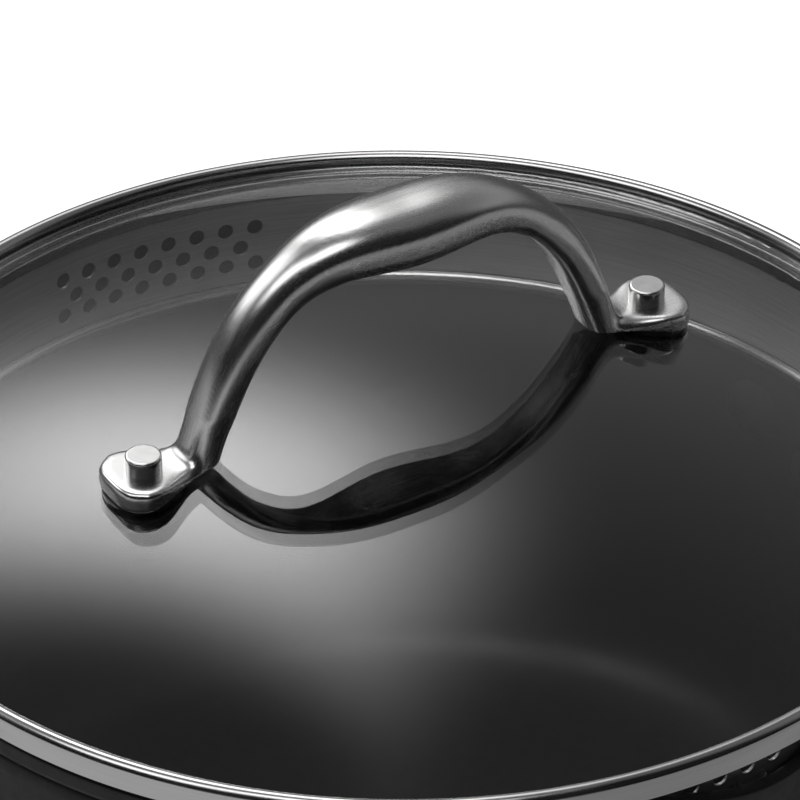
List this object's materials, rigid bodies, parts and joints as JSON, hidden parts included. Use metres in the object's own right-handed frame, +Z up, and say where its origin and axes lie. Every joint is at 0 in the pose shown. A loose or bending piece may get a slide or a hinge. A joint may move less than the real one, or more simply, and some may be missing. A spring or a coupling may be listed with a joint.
{
  "type": "saucepan with glass lid",
  "caption": "Hard-anodised saucepan with two pour spouts, a riveted steel long handle and a domed glass lid with a steel straining skirt and loop handle.",
  "frame": {"origin": "centre of the pan's flat base, on the surface it stands on", "axes": "+Z up along the pan's axis, +X along the long handle, the pour spouts on +Y and -Y"},
  "size_m": [0.3895, 0.1992, 0.162],
  "materials": {
    "anodised": "satin hard-anodised, dark non-stick inside",
    "brushed_steel": "brushed",
    "rim_steel": "bright rolled steel",
    "skirt_steel": "fine circular brushing",
    "rivet_steel": "turned and polished",
    "glass": "clear tempered",
    "silicone": "dark, glossy"
  },
  "bodies": {
    "pan": {"pan_body": "anodised", "long_handle": "brushed_steel", "pan_rivet_left": "rivet_steel", "pan_rivet_right": "rivet_steel", "pan_rivet_lower": "rivet_steel"},
    "lid": {"lid_glass": "glass", "lid_rim": "rim_steel", "strainer_skirt": "skirt_steel", "lid_handle": "brushed_steel", "lid_rivet_left": "rivet_steel", "lid_pad_left": "silicone", "lid_bush_left": "silicone", "lid_washer_left": "silicone", "lid_rivet_right": "rivet_steel", "lid_pad_right": "silicone", "lid_bush_right": "silicone", "lid_washer_right": "silicone"}
  },
  "joints": [
    {"name": "lid_lift", "type": "slide", "parent": "pan", "child": "lid", "axis": [0, 0, 1], "range_m": [0, 0.06]}
  ]
}
